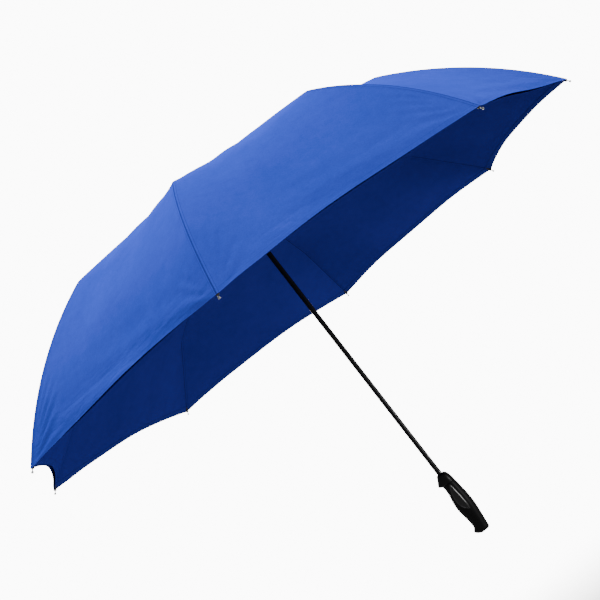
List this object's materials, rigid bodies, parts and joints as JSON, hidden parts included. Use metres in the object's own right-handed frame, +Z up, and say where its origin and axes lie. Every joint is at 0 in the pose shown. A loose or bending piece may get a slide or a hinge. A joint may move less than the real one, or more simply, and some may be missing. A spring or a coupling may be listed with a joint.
{
  "type": "golf umbrella",
  "caption": "Open golf umbrella with a two-layer canopy that closes inside out, jointed ribs, a straight shaft and a pistol-shaped grip.",
  "frame": {"origin": "on the shaft's axis at the flat under the pommel", "axes": "+Z up the shaft towards the crown, rib 0 along +X, the grip's finger side towards -X"},
  "size_m": [1.3368, 1.3368, 0.9106],
  "materials": {
    "outer_fabric": "fine woven royal blue pongee",
    "inner_fabric": "fine woven navy pongee",
    "shaft": "gloss black",
    "links": "black coated pressed steel",
    "rods": "black glass-fibre rod",
    "knuckles": "moulded nylon",
    "tips": "black plug with a bright pin",
    "springs": "spring steel",
    "wires": "plain wire",
    "hubs": "moulded nylon",
    "cap": "gloss black",
    "grip": "satin rubberised coating",
    "collar": "satin black",
    "inserts": "gloss black",
    "button": "gloss black"
  },
  "bodies": {
    "frame": {"shaft": "shaft", "runner_catch": "springs", "opening_spring": "springs", "top_notch": "hubs", "notch_wire": "wires", "top_cap": "cap", "outer_canopy": "outer_fabric", "handle_core": "hubs", "handle_grip": "grip", "handle_collar": "collar", "side_inserts": "inserts", "button_spring": "springs"},
    "runner": {"runner": "hubs", "runner_wire": "wires", "inner_canopy": "inner_fabric"},
    "push_button": {"push_button": "button"},
    "upper_link_0": {"upper_link_0": "links"},
    "outer_rib_0": {"outer_rib_0": "rods", "elbow_joint_0": "knuckles", "rib_tip_0": "tips"},
    "lower_link_0": {"lower_link_0": "links"},
    "upper_link_1": {"upper_link_1": "links"},
    "outer_rib_1": {"outer_rib_1": "rods", "elbow_joint_1": "knuckles", "rib_tip_1": "tips"},
    "lower_link_1": {"lower_link_1": "links"},
    "upper_link_2": {"upper_link_2": "links"},
    "outer_rib_2": {"outer_rib_2": "rods", "elbow_joint_2": "knuckles", "rib_tip_2": "tips"},
    "lower_link_2": {"lower_link_2": "links"},
    "upper_link_3": {"upper_link_3": "links"},
    "outer_rib_3": {"outer_rib_3": "rods", "elbow_joint_3": "knuckles", "rib_tip_3": "tips"},
    "lower_link_3": {"lower_link_3": "links"},
    "upper_link_4": {"upper_link_4": "links"},
    "outer_rib_4": {"outer_rib_4": "rods", "elbow_joint_4": "knuckles", "rib_tip_4": "tips"},
    "lower_link_4": {"lower_link_4": "links"},
    "upper_link_5": {"upper_link_5": "links"},
    "outer_rib_5": {"outer_rib_5": "rods", "elbow_joint_5": "knuckles", "rib_tip_5": "tips"},
    "lower_link_5": {"lower_link_5": "links"},
    "upper_link_6": {"upper_link_6": "links"},
    "outer_rib_6": {"outer_rib_6": "rods", "elbow_joint_6": "knuckles", "rib_tip_6": "tips"},
    "lower_link_6": {"lower_link_6": "links"},
    "upper_link_7": {"upper_link_7": "links"},
    "outer_rib_7": {"outer_rib_7": "rods", "elbow_joint_7": "knuckles", "rib_tip_7": "tips"},
    "lower_link_7": {"lower_link_7": "links"}
  },
  "joints": [
    {"name": "runner_slide", "type": "slide", "parent": "frame", "child": "runner", "axis": [0, 0, -1], "range_m": [0, 0.66079], "deforming": ["outer_canopy", "inner_canopy", "runner_catch", "opening_spring"]},
    {"name": "button_press", "type": "slide", "parent": "frame", "child": "push_button", "axis": [0, -1, 0], "range_m": [0, 0.0025], "stiffness_N_per_m": 400, "springref_m": -0.0005, "deforming": ["button_spring"]},
    {"name": "upper_link_0_hinge", "type": "hinge", "parent": "frame", "child": "upper_link_0", "pos_m": [0.018, 0, 0.888], "axis": [0, 1, 0], "range_deg": [0, 76.1]},
    {"name": "elbow_0_hinge", "type": "hinge", "parent": "upper_link_0", "child": "outer_rib_0", "pos_m": [0.377, 0, 0.8225], "axis": [0, -1, 0], "range_deg": [0, 196.1]},
    {"name": "lower_link_0_hinge", "type": "hinge", "parent": "runner", "child": "lower_link_0", "pos_m": [0.02, 0, 0.85], "axis": [0, -1, 0], "range_deg": [0, 99.2]},
    {"name": "upper_link_1_hinge", "type": "hinge", "parent": "frame", "child": "upper_link_1", "pos_m": [0.01273, 0.01273, 0.888], "axis": [-0.7071, 0.7071, 0], "range_deg": [0, 76.1]},
    {"name": "elbow_1_hinge", "type": "hinge", "parent": "upper_link_1", "child": "outer_rib_1", "pos_m": [0.26658, 0.26658, 0.8225], "axis": [0.7071, -0.7071, 0], "range_deg": [0, 196.1]},
    {"name": "lower_link_1_hinge", "type": "hinge", "parent": "runner", "child": "lower_link_1", "pos_m": [0.01414, 0.01414, 0.85], "axis": [0.7071, -0.7071, 0], "range_deg": [0, 99.2]},
    {"name": "upper_link_2_hinge", "type": "hinge", "parent": "frame", "child": "upper_link_2", "pos_m": [0, 0.018, 0.888], "axis": [-1, 0, 0], "range_deg": [0, 76.1]},
    {"name": "elbow_2_hinge", "type": "hinge", "parent": "upper_link_2", "child": "outer_rib_2", "pos_m": [0, 0.377, 0.8225], "axis": [1, 0, 0], "range_deg": [0, 196.1]},
    {"name": "lower_link_2_hinge", "type": "hinge", "parent": "runner", "child": "lower_link_2", "pos_m": [0, 0.02, 0.85], "axis": [1, 0, 0], "range_deg": [0, 99.2]},
    {"name": "upper_link_3_hinge", "type": "hinge", "parent": "frame", "child": "upper_link_3", "pos_m": [-0.01273, 0.01273, 0.888], "axis": [-0.7071, -0.7071, 0], "range_deg": [0, 76.1]},
    {"name": "elbow_3_hinge", "type": "hinge", "parent": "upper_link_3", "child": "outer_rib_3", "pos_m": [-0.26658, 0.26658, 0.8225], "axis": [0.7071, 0.7071, 0], "range_deg": [0, 196.1]},
    {"name": "lower_link_3_hinge", "type": "hinge", "parent": "runner", "child": "lower_link_3", "pos_m": [-0.01414, 0.01414, 0.85], "axis": [0.7071, 0.7071, 0], "range_deg": [0, 99.2]},
    {"name": "upper_link_4_hinge", "type": "hinge", "parent": "frame", "child": "upper_link_4", "pos_m": [-0.018, 0, 0.888], "axis": [0, -1, 0], "range_deg": [0, 76.1]},
    {"name": "elbow_4_hinge", "type": "hinge", "parent": "upper_link_4", "child": "outer_rib_4", "pos_m": [-0.377, 0, 0.8225], "axis": [0, 1, 0], "range_deg": [0, 196.1]},
    {"name": "lower_link_4_hinge", "type": "hinge", "parent": "runner", "child": "lower_link_4", "pos_m": [-0.02, 0, 0.85], "axis": [0, 1, 0], "range_deg": [0, 99.2]},
    {"name": "upper_link_5_hinge", "type": "hinge", "parent": "frame", "child": "upper_link_5", "pos_m": [-0.01273, -0.01273, 0.888], "axis": [0.7071, -0.7071, 0], "range_deg": [0, 76.1]},
    {"name": "elbow_5_hinge", "type": "hinge", "parent": "upper_link_5", "child": "outer_rib_5", "pos_m": [-0.26658, -0.26658, 0.8225], "axis": [-0.7071, 0.7071, 0], "range_deg": [0, 196.1]},
    {"name": "lower_link_5_hinge", "type": "hinge", "parent": "runner", "child": "lower_link_5", "pos_m": [-0.01414, -0.01414, 0.85], "axis": [-0.7071, 0.7071, 0], "range_deg": [0, 99.2]},
    {"name": "upper_link_6_hinge", "type": "hinge", "parent": "frame", "child": "upper_link_6", "pos_m": [0, -0.018, 0.888], "axis": [1, 0, 0], "range_deg": [0, 76.1]},
    {"name": "elbow_6_hinge", "type": "hinge", "parent": "upper_link_6", "child": "outer_rib_6", "pos_m": [0, -0.377, 0.8225], "axis": [-1, 0, 0], "range_deg": [0, 196.1]},
    {"name": "lower_link_6_hinge", "type": "hinge", "parent": "runner", "child": "lower_link_6", "pos_m": [0, -0.02, 0.85], "axis": [-1, 0, 0], "range_deg": [0, 99.2]},
    {"name": "upper_link_7_hinge", "type": "hinge", "parent": "frame", "child": "upper_link_7", "pos_m": [0.01273, -0.01273, 0.888], "axis": [0.7071, 0.7071, 0], "range_deg": [0, 76.1]},
    {"name": "elbow_7_hinge", "type": "hinge", "parent": "upper_link_7", "child": "outer_rib_7", "pos_m": [0.26658, -0.26658, 0.8225], "axis": [-0.7071, -0.7071, 0], "range_deg": [0, 196.1]},
    {"name": "lower_link_7_hinge", "type": "hinge", "parent": "runner", "child": "lower_link_7", "pos_m": [0.01414, -0.01414, 0.85], "axis": [-0.7071, -0.7071, 0], "range_deg": [0, 99.2]}
  ],
  "couplings": [
    {"joint": "upper_link_0_hinge", "follows": "runner_slide", "rad_per_m": 2.0074},
    {"joint": "elbow_0_hinge", "follows": "runner_slide", "rad_per_m": 5.1769},
    {"joint": "lower_link_0_hinge", "follows": "runner_slide", "rad_per_m": 2.6176},
    {"joint": "upper_link_1_hinge", "follows": "runner_slide", "rad_per_m": 2.0074},
    {"joint": "elbow_1_hinge", "follows": "runner_slide", "rad_per_m": 5.1769},
    {"joint": "lower_link_1_hinge", "follows": "runner_slide", "rad_per_m": 2.6176},
    {"joint": "upper_link_2_hinge", "follows": "runner_slide", "rad_per_m": 2.0074},
    {"joint": "elbow_2_hinge", "follows": "runner_slide", "rad_per_m": 5.1769},
    {"joint": "lower_link_2_hinge", "follows": "runner_slide", "rad_per_m": 2.6176},
    {"joint": "upper_link_3_hinge", "follows": "runner_slide", "rad_per_m": 2.0074},
    {"joint": "elbow_3_hinge", "follows": "runner_slide", "rad_per_m": 5.1769},
    {"joint": "lower_link_3_hinge", "follows": "runner_slide", "rad_per_m": 2.6176},
    {"joint": "upper_link_4_hinge", "follows": "runner_slide", "rad_per_m": 2.0074},
    {"joint": "elbow_4_hinge", "follows": "runner_slide", "rad_per_m": 5.1769},
    {"joint": "lower_link_4_hinge", "follows": "runner_slide", "rad_per_m": 2.6176},
    {"joint": "upper_link_5_hinge", "follows": "runner_slide", "rad_per_m": 2.0074},
    {"joint": "elbow_5_hinge", "follows": "runner_slide", "rad_per_m": 5.1769},
    {"joint": "lower_link_5_hinge", "follows": "runner_slide", "rad_per_m": 2.6176},
    {"joint": "upper_link_6_hinge", "follows": "runner_slide", "rad_per_m": 2.0074},
    {"joint": "elbow_6_hinge", "follows": "runner_slide", "rad_per_m": 5.1769},
    {"joint": "lower_link_6_hinge", "follows": "runner_slide", "rad_per_m": 2.6176},
    {"joint": "upper_link_7_hinge", "follows": "runner_slide", "rad_per_m": 2.0074},
    {"joint": "elbow_7_hinge", "follows": "runner_slide", "rad_per_m": 5.1769},
    {"joint": "lower_link_7_hinge", "follows": "runner_slide", "rad_per_m": 2.6176}
  ]
}
